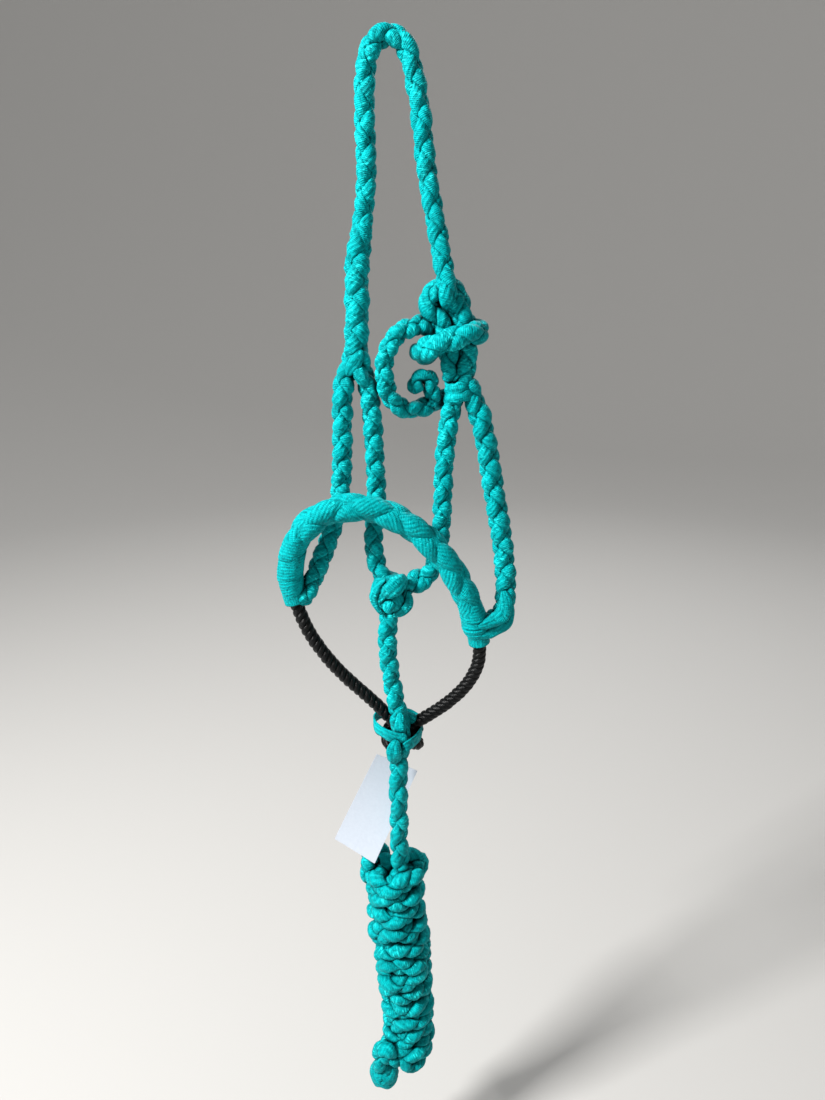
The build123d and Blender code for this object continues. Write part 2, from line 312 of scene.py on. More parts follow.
def wound_tape(sheath, line, gone, s, angle, radius, thickness, lengthwise, width, flipped=False,
               frame_of=facing_frame):
    """Adds a closed flat tape wound on a line. The grids s, angle and radius, all (n, m), say how far
    along the line, at what turn and how far out each point of its outer face is."""
    _, normal, binormal = frame_of(line)
    columns = s.shape[1]
    under = [columns - 2, 2 * columns // 3, columns // 3, 1]
    s = np.concatenate([s, s[:, under]], axis=1)
    angle = np.concatenate([angle, angle[:, under]], axis=1)
    radius = np.concatenate([radius, radius[:, under] - thickness], axis=1)
    at = np.stack([np.interp(s, gone, line[:, k]) for k in range(3)], axis=-1)
    n = np.stack([np.interp(s, gone, normal[:, k]) for k in range(3)], axis=-1)
    b = np.stack([np.interp(s, gone, binormal[:, k]) for k in range(3)], axis=-1)
    rings = at + radius[..., None] * (np.cos(angle)[..., None] * n + np.sin(angle)[..., None] * b)
    across = np.concatenate([np.linspace(0, width, columns), np.linspace(width, 0, 5)])
    if flipped:
        rings, across = rings[:, ::-1], across[::-1]
    sheath.tube(rings, lengthwise, across)


def plait(sheath, line, gone, radius, pitch, lift, pillow, seed, pleat=0.0003, cover=1.0, columns=20,
          start=0.0, end=None, size=None, step=STEP, frame_of=facing_frame, domed=True):
    """Four flat tapes plaited round a rope: two run each way, over and under in turn. Radius is the
    outside's, pitch is between two lobes of one column, lift is how far a tape rises where it is over,
    pillow is how full it is and pleat how deep its folds are. Cover is how much of the rope the tapes
    hide, and start and end are how far along the rope the plait goes. Size, if given, scales the
    radius at a distance along the rope, and domed ends close over."""
    end = gone[-1] if end is None else end
    base = radius - lift - pillow
    slope = atan(pi * base / pitch)
    tape_width = cover * pitch * sin(slope)
    past = 0.3 * tape_width
    count = max(12, round((end - start) / cos(slope) / step))
    middle = np.linspace(start - past, end + past, count)
    v = np.linspace(-0.5, 0.5, columns)
    for way in (1, -1):
        for half in (0, 1):
            number = seed * 10 + way + 2 * half + 5
            width = tape_width * (1 + 0.09 * ripple(middle, (0.047, 0.031), number))
            s = middle[:, None] - way * sin(slope) * width[:, None] * v
            angle = way * pi * middle[:, None] / pitch + half * pi + cos(slope) * width[:, None] * v / base
            loose = 0.10 * ripple(middle, (0.023, 0.041, 0.067), number + 5)[:, None]
            woven = np.tanh(1.9 * way * 0.5 * (np.cos(2 * pi * s / pitch) + np.cos(2 * angle)))
            r = base + lift * woven + pillow * (np.sqrt(np.clip(1 - (2.02 * v) ** 2, 0, 1)) + loose)
            wander = ripple(middle, (0.033, 0.019), number + 2)[:, None]
            for fold_width, share in ((0.0062, 1.0), (0.0031, 0.8)):
                fold = np.abs(np.sin(pi * (v * tape_width / fold_width + 0.6 * wander + 0.3 * number)))
                r = r - pleat * share * (1 - fold) ** 2
            r[:, [0, -1]] -= EDGE_DROP
            place = np.clip(s, start, end)
            if size is not None:
                r = r * size(place)
            if domed:
                near = np.clip(np.minimum(place - start, end - place) / (0.8 * radius), 0, 1)
                r = r * np.sqrt(np.clip(1 - (1 - near) ** 2, 0.03, 1))
            turned = angle + pi / 4 + 0.3 * ripple(place, (0.13, 0.21), seed + 9)
            lengthwise = middle / cos(slope) + 0.031 * number
            wound_tape(
                sheath, line, gone, place, turned, r, TAPE_THICK, lengthwise, tape_width, way < 0, frame_of
            )


def plaited(name, route, diameter, material, pitch, **more):
    """A rope plaited of four flat tapes, as an object, and its line."""
    line, gone = smooth_line(route)
    sheath = Sheath()
    plain_tube(sheath, line[4:-4], 0.3 * diameter, 10)
    plait(sheath, line, gone, FULL * diameter / 2, pitch, **more)
    return sheath.object(name, material), line


def plain_tube(sheath, line, radius, around=20, facing=FRONT):
    """A smooth round tube along a line; radius may vary along it."""
    _, normal, binormal = carried_frame(line, facing)
    turn = np.arange(around) * 2 * pi / around
    ring = np.cos(turn)[None, :, None] * normal[:, None] + np.sin(turn)[None, :, None] * binormal[:, None]
    gone = np.concatenate([[0], np.cumsum(np.linalg.norm(np.diff(line, axis=0), axis=1))])
    size = np.broadcast_to(radius, gone.shape)
    width = 2 * pi * float(np.mean(size))
    sheath.tube(line[:, None] + size[:, None, None] * ring, gone, np.linspace(0, width, around + 1))


def whipping(sheath, line, gone, start, end, radius_of, width, pitch, seed, thick=0.0008, way=1):
    """A tape wound round and round a rope, each turn lapping the last. radius_of gives the rope's
    radius at a distance along it."""
    count = round((end - start) / pitch * 56)
    middle = np.linspace(start, end, count)
    turned = way * 2 * pi * (middle - start) / pitch
    v = np.linspace(-0.5, 0.5, max(12, round(width / 0.0006)))
    wander = ripple(turned, (9.0, 17.0, 31.0), seed)[:, None]
    s = np.clip(middle[:, None] + width * v + 0.0006 * wander, 0, gone[-1])
    tucked = 0.0030 * np.clip(1 - np.minimum(middle - start, end - middle) / (0.4 * pitch), 0, 1)
    uneven = 0.0003 * ripple(turned, (2.3, 5.1), seed + 1)
    r = radius_of(s) - tucked[:, None] + thick * (0.4 - 1.0 * v) + uneven[:, None]
    for fold_width in (0.0033, 0.0071):
        r = r - 0.00012 * (1 - np.abs(np.sin(pi * (v * width / fold_width + 0.5 * wander)))) ** 3
    r = r - 0.0007 * (2 * np.abs(v)) ** 12
    angle = np.broadcast_to(turned[:, None], s.shape)
    lengthwise = np.abs(turned) * radius_of(middle)
    wound_tape(sheath, line, gone, s, angle, r, WRAP_THICK, lengthwise, width, way < 0)


def strand_ring(sheath, line, outward, half_width, half_depth, seed):
    """A closed ring of crushed tape along a closed line of points."""
    around = 18
    along = unit(np.roll(line, -1, axis=0) - np.roll(line, 1, axis=0))
    out = unit(outward - (along * outward).sum(1)[:, None] * along)
    side = np.cross(along, out)
    gone = np.concatenate([[0], np.cumsum(np.linalg.norm(np.diff(line, axis=0), axis=1))])
    lap = gone / gone[-1] * 2 * pi
    turn = np.arange(around) * 2 * pi / around
    creases = 0
    for folds, height in ((4, 0.10), (7, 0.06)):
        drift = 1.3 * np.sin(3 * lap + seed) + 0.9 * np.sin(5 * lap + 2.1 * seed)
        wave = folds * turn[None] + drift[:, None]
        creases = creases + height * (1 - 2 * np.abs(np.sin(0.5 * wave)))
    width = half_width * (1 + 0.10 * np.sin(7 * lap + seed) + 0.06 * np.sin(4 * lap + 1.7 * seed))
    c, sn = np.cos(turn), np.sin(turn)
    rings = (
        line[:, None]
        + (width[:, None] * np.sign(c) * np.abs(c) ** 0.85 * (1 + creases))[..., None] * side[:, None]
        + (half_depth * np.sign(sn) * np.abs(sn) ** 0.95 * (1 + creases))[..., None] * out[:, None]
    )
    reach = (half_width + half_depth) * pi
    sheath.tube(rings, gone, np.linspace(0, reach, around + 1), ring_shaped=True)


def turks_head(sheath, centre, radii, leads, bights, half_width, half_depth, lift, seed, tilt=0.0):
    """A round knot of one strand that goes leads times round and makes bights edges, over and under."""
    t = np.linspace(0, 2 * pi, 160 * leads, endpoint=False)
    height = 0.8 * np.cos(bights * t + 0.4 * seed)
    bulge = 1 + lift * np.sin(bights * (leads - 1) * t) + 0.04 * np.sin(2 * t + seed) + 0.03 * np.sin(5 * t)
    reach = np.sqrt(1 - height**2) ** 0.9
    local = np.stack([reach * np.cos(leads * t), reach * np.sin(leads * t), height], axis=-1)
    out = (local * bulge[:, None]) @ np.array(Matrix.Rotation(tilt, 3, "Y")).T
    radii = np.array(radii)
    strand_ring(sheath, np.array(centre) + out * radii, out / radii, half_width, half_depth, seed)


def binding(sheath, centre, across, through, radii, turns, pitch, half_width, half_depth, seed):
    """Turns of tape bound round two ropes that lie side by side: across and through are the oval's two
    directions, radii its two half sizes, and the turns go along the third."""
    across, through = unit(np.array(across, float)), unit(np.array(through, float))
    rise = np.cross(across, through)
    t = np.linspace(0, 2 * pi, 130, endpoint=False)
    for k in range(turns):
        number = seed + 3 * k
        level = (k - (turns - 1) / 2) * pitch + 0.0007 * np.sin(t + number) + 0.0004 * np.sin(3 * t + number)
        swell = 1 + 0.05 * np.sin(number) + 0.03 * np.sin(2 * t + number)
        out = np.cos(t)[:, None] * across * radii[0] + np.sin(t)[:, None] * through * radii[1]
        strand_ring(
            sheath, np.array(centre) + out * swell[:, None] + level[:, None] * rise, out, half_width,
            half_depth, number,
        )


def lobe(sheath, points, half_width, half_depth, seed, facing=FRONT, blunt=0.55):
    """One showing stretch of a crushed tape: a long rounded lobe along a short line. The smaller blunt
    is, the rounder the lobe's two ends are."""
    line, _ = smooth_line(points, 0.0006)
    leaf = np.sin(np.linspace(0.06, pi - 0.06, len(line))) ** blunt
    facing = np.broadcast_to(np.array(facing, float), line.shape)
    tape_bundle(sheath, line, facing, half_width * leaf, half_depth * leaf, seed, closed_ends=False)


def lobes(sheath, rows, **more):
    """Several lobes: each row holds the line's points, half width, half depth and seed."""
    for points, half_width, half_depth, seed in rows:
        lobe(sheath, points, half_width, half_depth, seed, **more)


def laid(sheath, line, diameter, strands=3, lay=0.0172, seed=1):
    """A hard-laid rope along a line: round strands twisted one way about a core. Lay is how far along
    the rope one turn of a strand takes, or a row of it at each point of the line."""
    gone = np.concatenate([[0], np.cumsum(np.linalg.norm(np.diff(line, axis=0), axis=1))])
    _, normal, binormal = carried_frame(line, (0.1, -1, 0.05))
    strand = 0.25 * diameter
    turned = np.concatenate([[0], np.cumsum(np.diff(gone) / np.broadcast_to(lay, gone.shape)[1:])])
    plain_tube(sheath, line, 0.27 * diameter, 12, (0.1, -1, 0.05))
    for k in range(strands):
        angle = 2 * pi * (turned + k / strands) + 0.12 * ripple(gone, (0.05, 0.09), seed)
        out = np.cos(angle)[:, None] * normal + np.sin(angle)[:, None] * binormal
        centre = line + (diameter / 2 - strand) * out
        along = tangents(centre)
        out = unit(out - (along * out).sum(1)[:, None] * along)
        side = np.cross(along, out)
        turn = np.arange(12) * 2 * pi / 12
        size = strand * (1 + 0.05 * ripple(gone, (0.021, 0.013), seed + k))
        rings = centre[:, None] + size[:, None, None] * (
            np.cos(turn)[None, :, None] * side[:, None] * 1.05 + np.sin(turn)[None, :, None] * out[:, None]
        )
        sheath.tube(rings, gone * 1.6 + 0.1 * k, np.linspace(0, 2 * pi * strand, 13))


# ---- materials ----
class Nodes:
    """Short ways to add and join a material's nodes."""

    def __init__(self, name):
        self.material = bpy.data.materials.new(name)
        self.material.use_nodes = True
        self.tree = self.material.node_tree
        self.shader = self.tree.nodes["Principled BSDF"]

    def add(self, kind, **settings):
        node = self.tree.nodes.new(kind)
        for key, value in settings.items():
            setattr(node, key, value)
        return node

    def feed(self, socket, value):
        if isinstance(value, bpy.types.NodeSocket):
            self.tree.links.new(value, socket)
        else:
            socket.default_value = value

    def math(self, operation, a, b=0.0):
        node = self.add("ShaderNodeMath", operation=operation)
        self.feed(node.inputs[0], a)
        self.feed(node.inputs[1], b)
        return node.outputs[0]

    def times(self, a, b):
        return self.math("MULTIPLY", a, b)

    def wave(self, position, pitch):
        """A wave between 0 and 1 along a position in millimetres."""
        turned = self.math("SINE", self.times(position, 2 * pi / pitch))
        return self.times(self.math("ADD", turned, 1.0), 0.5)

    def valley(self, wave, share):
        """The low parts of a wave, as a share of a mix."""
        return self.times(self.math("SUBTRACT", 1.0, wave), share)

    def noise(self, vector, scale, detail=3.0, roughness=0.55):
        node = self.add("ShaderNodeTexNoise")
        self.feed(node.inputs["Vector"], vector)
        node.inputs["Scale"].default_value = scale
        node.inputs["Detail"].default_value = detail
        node.inputs["Roughness"].default_value = roughness
        return node.outputs["Fac"]

    def ramp(self, value, stops):
        """A colour ramp: stops are (position, colour)."""
        node = self.add("ShaderNodeValToRGB")
        self.feed(node.inputs[0], value)
        elements = node.color_ramp.elements
        while len(elements) < len(stops):
            elements.new(0.5)
        for element, (at, colour) in zip(elements, stops):
            element.position = at
            element.color = (*colour, 1)
        return node.outputs[0]

    def fade(self, value, low, high, at_low=0.0, at_high=1.0):
        """A grey ramp from one level at low to another at high."""
        return self.ramp(value, [(low, (at_low,) * 3), (high, (at_high,) * 3)])

    def mix(self, share, a, b):
        node = self.add("ShaderNodeMix", data_type="RGBA")
        self.feed(node.inputs["Factor"], share)
        self.feed(node.inputs[6], a if isinstance(a, bpy.types.NodeSocket) else (*a, 1))
        self.feed(node.inputs[7], b if isinstance(b, bpy.types.NodeSocket) else (*b, 1))
        return node.outputs[2]

    def bump(self, height, distance, strength=1.0, under=None):
        node = self.add("ShaderNodeBump")
        self.feed(node.inputs["Height"], height)
        node.inputs["Distance"].default_value = distance
        node.inputs["Strength"].default_value = strength
        if under is not None:
            self.feed(node.inputs["Normal"], under)
        return node.outputs[0]

    def lay(self):
        """The lay map's two directions, in millimetres along and across the tape."""
        node = self.add("ShaderNodeUVMap", uv_map="lay")
        parts = self.add("ShaderNodeSeparateXYZ")
        self.feed(parts.inputs[0], node.outputs[0])
        return parts.outputs[0], parts.outputs[1]

    def place(self):
        """The place in the row frame, in metres."""
        return self.add("ShaderNodeTexCoord").outputs["Object"]


# painted shade: the darkest teal, put where other surfaces are near
TEAL_GAP_SHADE = (0.0, 0.020, 0.025)
# painted shade: the deep teal, put in the valleys of the ribs, yarns and lengthwise lines and in the creases
TEAL_PAINTED_SHADE = (0.0, 0.140, 0.155)
TEAL = (0.0, 0.420, 0.445)
# the real pale fuzz, and also a painted highlight on the crests of the lengthwise lines
TEAL_FUZZ_AND_HIGHLIGHT = (0.020, 0.800, 0.800)
GAP_SHADE_REACH = 0.005  # how near two surfaces are, in metres, where the gap between them gets painted shade


def teal_material(name, rib_height=0.00016, worn=0.9, drawn=0.5):
    """Flat woven polyester tape: fine crosswise ribs, lengthwise yarns, creases and fuzz, with painted shade
    in the valleys, the creases and where other surfaces are near, and a painted highlight on the line crests.
    Worn is how much pale fuzz it has, and drawn how dark the painted shade in its lengthwise lines is and how
    bright the painted highlight on their crests."""
    n = Nodes(name)
    along, across = n.lay()
    place = n.place()
    wobble = n.times(n.noise(place, 90.0), 3.0)
    ribs = n.wave(n.math("ADD", along, wobble), RIB_PITCH * 1000)
    lines = n.wave(n.math("ADD", across, wobble), PLEAT_PITCH * 1000)
    yarns = n.wave(n.math("ADD", across, wobble), 0.74)
    creases = n.noise(place, 330.0, 4.0, 0.6)
    patches = n.noise(place, 85.0, 3.0)
    fuzz = n.noise(place, 1400.0, 2.0, 0.7)
    ends = n.add("ShaderNodeCombineXYZ")
    n.feed(ends.inputs[0], along)
    n.feed(ends.inputs[1], n.times(across, 0.35))
    specks = n.fade(n.noise(ends.outputs[0], 0.85, 2.0, 0.6), 0.55, 0.66)
    frayed = n.fade(n.noise(place, 38.0, 2.0), 0.43, 0.56)
    base = n.ramp(patches, [(0.30, tuple(0.74 * c for c in TEAL)), (0.70, tuple(1.24 * c for c in TEAL))])
    # painted shade: the valleys of the ribs are darkened, following the rib bump
    rib_shaded = n.mix(n.valley(ribs, 0.5), base, TEAL_PAINTED_SHADE)
    tight = n.fade(n.noise(place, 140.0, 2.0), 0.40, 0.62, at_low=0.15)
    # painted shade: the valleys of the lengthwise lines and of the yarns are darkened, following their bumps
    furrow_shade = n.times(n.times(n.math("POWER", n.math("SUBTRACT", 1.0, lines), 2.5), drawn), tight)
    line_shaded = n.mix(n.valley(yarns, 0.2), n.mix(furrow_shade, rib_shaded, TEAL_PAINTED_SHADE), TEAL_PAINTED_SHADE)
    # painted shade: darker where the crease noise is low, which is where the fold bump dips
    crease_shaded = n.mix(n.fade(creases, 0.36, 0.48, 0.8, 0.0), line_shaded, TEAL_PAINTED_SHADE)
    # painted highlight: the crests of the lengthwise lines go pale, mixed with the real pale fuzz of the worn
    # specks
    ridge_highlight = n.times(n.times(n.math("POWER", lines, 4.0), tight), 0.45 * drawn)
    wear_and_highlight = n.math("MAXIMUM", n.times(n.times(specks, frayed), worn), ridge_highlight)
    worn_and_highlit_colour = n.mix(wear_and_highlight, crease_shaded, TEAL_FUZZ_AND_HIGHLIGHT)
    # painted shade: ambient occlusion darkens the colour towards the darkest teal where other surfaces are
    # near, between the tapes
    gap_shade_ao = n.add("ShaderNodeAmbientOcclusion", samples=6, only_local=False)
    gap_shade_ao.inputs["Distance"].default_value = GAP_SHADE_REACH
    depth = n.fade(gap_shade_ao.outputs["AO"], 0.35, 0.92, 1.0, 0.0)
    n.feed(n.shader.inputs["Base Color"], n.mix(depth, worn_and_highlit_colour, TEAL_GAP_SHADE))
    n.feed(n.shader.inputs["Roughness"], n.math("ADD", 0.54, n.times(creases, 0.2)))
    n.shader.inputs["Sheen Weight"].default_value = 0.08
    n.shader.inputs["Sheen Roughness"].default_value = 0.4
    n.shader.inputs["Sheen Tint"].default_value = (0.0, 1.0, 1.0, 1)
    n.shader.inputs["Specular IOR Level"].default_value = 0.22
    n.shader.inputs["Specular Tint"].default_value = (0.1, 1.0, 1.0, 1)
    folds = n.bump(creases, 0.0012, 0.7)
    pleated = n.bump(lines, 0.00024, 1.0, folds)
    ribbing = n.bump(ribs, rib_height, 1.0, pleated)
    yarned = n.bump(yarns, 0.00008, 0.8, ribbing)
    n.feed(n.shader.inputs["Normal"], n.bump(fuzz, 0.00022, 0.7, yarned))
    return n.material


def black_material(name):
    """Waxed black rope: fine yarns and patches of grey dust."""
    n = Nodes(name)
    along, across = n.lay()
    place = n.place()
    wobble = n.times(n.noise(place, 300.0), 1.5)
    yarns = n.wave(n.math("ADD", n.math("ADD", along, across), wobble), 0.8)
    dust = n.noise(place, 700.0, 3.0, 0.6)
    dusty = n.fade(dust, 0.48, 0.75, at_high=0.55)
    base = n.mix(dusty, (0.0006, 0.0007, 0.0008), (0.010, 0.012, 0.014))
    n.feed(n.shader.inputs["Base Color"], base)
    n.feed(n.shader.inputs["Roughness"], n.math("ADD", 0.22, n.times(dust, 0.3)))
    n.shader.inputs["Specular IOR Level"].default_value = 0.20
    n.feed(n.shader.inputs["Normal"], n.bump(dust, 0.00015, 0.5, n.bump(yarns, 0.00009, 0.8)))
    return n.material


def card_material(name):
    """Coated white card, faintly mottled, with a soft gloss."""
    n = Nodes(name)
    place = n.place()
    mottle = n.noise(place, 420.0, 3.0)
    n.feed(n.shader.inputs["Base Color"],
           n.ramp(mottle, [(0.3, (0.43, 0.475, 0.545)), (0.7, (0.46, 0.505, 0.575))]))
    n.feed(n.shader.inputs["Roughness"], n.math("ADD", 0.34, n.times(mottle, 0.16)))
    n.feed(n.shader.inputs["Normal"], n.bump(mottle, 0.00003, 0.5))
    return n.material


def twine_material(name):
    """Pale twine with fine slanting fibres."""
    n = Nodes(name)
    along, across = n.lay()
    fibres = n.wave(n.math("ADD", n.times(along, 0.6), n.times(across, 3.0)), 0.5)
    n.feed(n.shader.inputs["Base Color"], n.mix(fibres, (0.42, 0.40, 0.36), (0.72, 0.70, 0.65)))
    n.shader.inputs["Roughness"].default_value = 0.85
    n.feed(n.shader.inputs["Normal"], n.bump(fibres, 0.00005, 0.7))
    return n.material


teal_braid = teal_material("teal_braid_tape")
teal_tape = teal_material("teal_flat_tape", rib_height=0.00012, worn=0.40, drawn=0.45)
smooth_tape = teal_material("teal_smooth_tape", rib_height=0.00008, worn=0.30, drawn=0.14)
black_rope = black_material("black_waxed_rope")
white_card = card_material("blank_white_card")
tag_twine = twine_material("pale_twine")


# ---- pieces ----
def shown_on(obj, body, slot, *nodes):
    """Puts a piece on its body, in place of these CAD nodes. Its slot argument is not used."""
    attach(obj, body)
    if nodes:
        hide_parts(*nodes)
    return obj


CROWN_PITCH = 0.0205
TIE_FROM = 0.345  # how far along the crown rope the tie's turns begin


def crown_size(at):
    """The crown rope is crushed fatter where it is wound into the tie."""
    return 1 + 0.17 * np.clip((at - TIE_FROM) / 0.02, 0, 1)


def splice_size(at):
    """The splice thickens from the crown rope as the tucked ends come in."""
    return 0.78 + 0.22 * np.sin(0.5 * pi * np.clip((at - 0.006) / 0.024, 0, 1)) + 0.03 * np.sin(at * 900)


def throat_size(at):
    """The right throat braid swells where it turns in to the chin knot."""
    return 1 + 0.22 * np.clip((at - 0.138) / 0.02, 0, 1)


crown, _ = plaited(
    "crown_rope", CROWN_ROUTE + TIE_ROUTE[1:], CROWN_D, teal_braid, CROWN_PITCH, seed=3,
    frame_of=carried_frame, size=crown_size, pillow=0.0024, lift=0.0016, cover=1.04,
)
shown_on(crown, "halter", "teal_braid", "crown_strap", "tie_turns")
loose = {"pillow": 0.0029, "lift": 0.0020, "pleat": 0.0004}  # a full, soft braid
for node, route, diameter, pitch, seed, more in (
    ("left_cheek", LEFT_CHEEK_ROUTE, CHEEK_D, 0.020, 11, loose),
    ("left_throat", LEFT_THROAT_ROUTE, THROAT_D, 0.0205, 12, loose),
    ("right_throat", RIGHT_THROAT_ROUTE, THROAT_D, 0.0210, 13, loose | {"size": throat_size}),
    ("right_cheek", RIGHT_CHEEK_ROUTE, 1.07 * CHEEK_D, 0.0205, 14, loose | {"frame_of": carried_frame}),
    ("crown_splice", SPLICE_ROUTE, 0.93 * SPLICE_D, 0.0225, 15,
     {"pillow": 0.0024, "lift": 0.0019, "size": splice_size, "cover": 1.05, "pleat": 0.0002}),
    ("eye_loop", EYE_ROUTE, 1.2 * EYE_D, 0.023, 16, loose | {"frame_of": carried_frame}),
):
    rope, _ = plaited(node + "_rope", route, diameter, teal_braid, pitch, seed=seed, **more)
    shown_on(rope, "halter", "teal_braid", node)
chin, _ = plaited("chin_rope", CHIN_ROUTE, CHIN_D, teal_braid, 0.021, seed=21, **loose)
shown_on(chin, "noseband", "teal_braid", "chin_strap")
tail, tail_line = plaited(
    "tie_tail_rope", TAIL_ROUTE, 1.1 * TIE_D, teal_braid, 0.0195, seed=22, frame_of=carried_frame, **loose
)
shown_on(tail, "tie_tail", "teal_braid", "tie_tail")
fold, _ = plaited(
    "tail_fold_rope", FOLD_ROUTE, 0.0122, teal_braid, 0.018, seed=24, frame_of=carried_frame, **loose
)
shown_on(fold, "tie_tail", "teal_tape", "tail_fold")
drop, drop_line = plaited(
    "lead_drop_rope", LEAD_ROUTE, LEAD_D, teal_braid, 0.0275, seed=23, pillow=0.0030, lift=0.0024
)
shown_on(drop, "lead", "teal_braid", "lead_drop")


# ---- the fork and the eye's neck ----
fork = Sheath()
for side in (-1, 1):
    for points, seed in (
        ([(-0.0205, 0.0060, -0.188), (-0.0255, 0.0085, -0.196), (-0.0315, 0.0060, -0.206)], 3),
        ([(-0.0265, 0.0062, -0.198), (-0.0215, 0.0080, -0.206), (-0.0170, 0.0050, -0.214)], 4),
    ):
        lobe(fork, [(x, side * y, z) for x, y, z in points], 0.0054, 0.0034, seed + side, (0, side, 0))
shown_on(fork.object("fork_lobes", teal_braid), "halter", "teal_knot", "fork_seizing")

NECK_AT = (0.0490, 0.001, -0.2185)
neck = Sheath()
binding(neck, NECK_AT, (1, 0, 0.22), (0, 1, 0), (0.0080, 0.0086), 2, 0.0062, 0.0044, 0.0022, 2)
behind_eye = [(0.0340, 0.0070, -0.150), (0.0355, 0.0085, -0.160), (0.0375, 0.0075, -0.173)]
lobe(neck, behind_eye, 0.0055, 0.0034, 7, blunt=0.4)
shown_on(neck.object("eye_neck_wraps", teal_braid), "halter", "teal_knot", "eye_neck")

# ---- noseband: stiff rope, plaited cover and bound ends ----
rope = Sheath()
core_line, _ = smooth_line(LARIAT_LEFT + ARCH_ROUTE + LARIAT_RIGHT, 0.0007)
LEFT_LAY, RIGHT_LAY = 0.0175, 0.0150  # the bend to the right is twisted harder
core_share = np.clip((np.linspace(0, 1, len(core_line)) - 0.35) / 0.3, 0, 1)
laid(rope, core_line, 1.04 * LARIAT_D, lay=LEFT_LAY + (RIGHT_LAY - LEFT_LAY) * core_share)
lariat = rope.object("lariat_rope", black_rope)
shown_on(lariat, "noseband", "black_lariat", "lariat_core")

COVER_ROUTE = [
    tuple(0.38 * a + 0.62 * b for a, b in zip(LARIAT_LEFT[-1], ARCH_ROUTE[0])),
    *ARCH_ROUTE,
    tuple(0.35 * a + 0.65 * b for a, b in zip(ARCH_ROUTE[-1], LARIAT_RIGHT[0])),
]
cover_line, cover_gone = smooth_line(COVER_ROUTE, 0.0007)
COVER_LONG = float(cover_gone[-1])


def cover_size(at):
    """The plait is drawn in where its ends run under the whippings."""
    left, right = np.clip((0.068 - at) / 0.022, 0, 1), np.clip((at - COVER_LONG + 0.046) / 0.022, 0, 1)
    return 1 - 0.13 * left - 0.10 * right


COVER_LEFT, COVER_RIGHT = 0.030, 0.020  # how far in from each end of the cover's line the plait stops
cover = Sheath()
plain_tube(cover, cover_line, 0.42 * COVER_D, 24)
plait(
    cover, cover_line, cover_gone, 0.535 * COVER_D, 0.034, cover=1.01, lift=0.0021, pillow=0.0010, seed=31,
    columns=52, start=COVER_LEFT, end=COVER_LONG - COVER_RIGHT, pleat=0.0002, domed=False, size=cover_size,
)
shown_on(cover.object("noseband_plait", teal_tape), "noseband", "teal_tape", "noseband_cover")

LEFT_BOUND, RIGHT_BOUND = 0.056, 0.040  # how far along the cover each bound end reaches


def left_radius(at):
    return 0.0097 - 0.0034 * np.clip(1 - at / 0.021, 0, 1) ** 1.6


def right_radius(at):
    left = COVER_LONG - at
    swell = 0.0010 * np.exp(-(((left - 0.018) / 0.010) ** 2))
    return 0.0100 + swell - 0.0026 / (1 + np.exp((left - 0.0100) / 0.0022))


bound = Sheath()
whipping(bound, cover_line, cover_gone, -0.0165, LEFT_BOUND, left_radius, 0.0205, 0.0165, 41)
shown_on(bound.object("left_whipping_tape", smooth_tape), "noseband", "teal_tape", "left_whipping")
bound = Sheath()
whipping(
    bound, cover_line, cover_gone, COVER_LONG - RIGHT_BOUND, COVER_LONG - 0.016, right_radius, 0.0150, 0.0100,
    43, -0.0008, way=-1,
)
lobes(bound, (
    ([(0.0840, -0.0120, -0.3700), (0.0875, -0.0135, -0.3830), (0.0800, -0.0165, -0.3925),
      (0.0640, -0.0200, -0.3960)], 0.0064, 0.0042, 7),
    ([(0.0885, -0.0080, -0.3780), (0.0895, -0.0090, -0.3920), (0.0815, -0.0130, -0.4015),
      (0.0650, -0.0180, -0.4050)], 0.0064, 0.0042, 9),
), blunt=0.4)
whipping(
    bound, cover_line, cover_gone, COVER_LONG - 0.018, COVER_LONG - 0.003, right_radius, 0.0085, 0.0050, 44,
    way=-1,
)
shown_on(bound.object("right_whipping_tape", teal_tape), "noseband", "teal_tape", "right_whipping")

# ---- chin knot and heel ----
knot = Sheath()
heart = np.linspace((-0.002, -0.005, -0.357), (-0.004, -0.005, -0.386), 40)
plain_tube(knot, heart, 0.0115 * np.sin(np.linspace(0.3, pi - 0.3, 40)) ** 0.6, 24)
turks_head(knot, KNOT_SEEN_AT, (0.0118, 0.0105, 0.0135), 3, 4, 0.0062, 0.0036, 0.10, 3, tilt=0.25)
lobes(knot, (
    ([(-0.008, -0.0155, -0.372), (-0.0045, -0.0215, -0.3655), (0.0035, -0.021, -0.359),
      (0.0085, -0.013, -0.356)], 0.0078, 0.0042, 8),
    ([(-0.0065, -0.016, -0.3575), (-0.0145, -0.0155, -0.366), (-0.0165, -0.0125, -0.376),
      (-0.010, -0.0135, -0.387)], 0.0040, 0.0040, 11),
    ([(0.0105, -0.014, -0.368), (0.0115, -0.0145, -0.376), (0.0065, -0.0145, -0.3845),
      (-0.001, -0.0125, -0.389)], 0.0044, 0.0040, 12),
    ([(-0.0085, -0.0185, -0.3765), (-0.0045, -0.0215, -0.3775), (-0.0005, -0.019, -0.380)],
     0.0058, 0.0040, 10),
))
shown_on(knot.object("chin_knot_turns", teal_braid), "noseband", "teal_knot", "chin_knot")

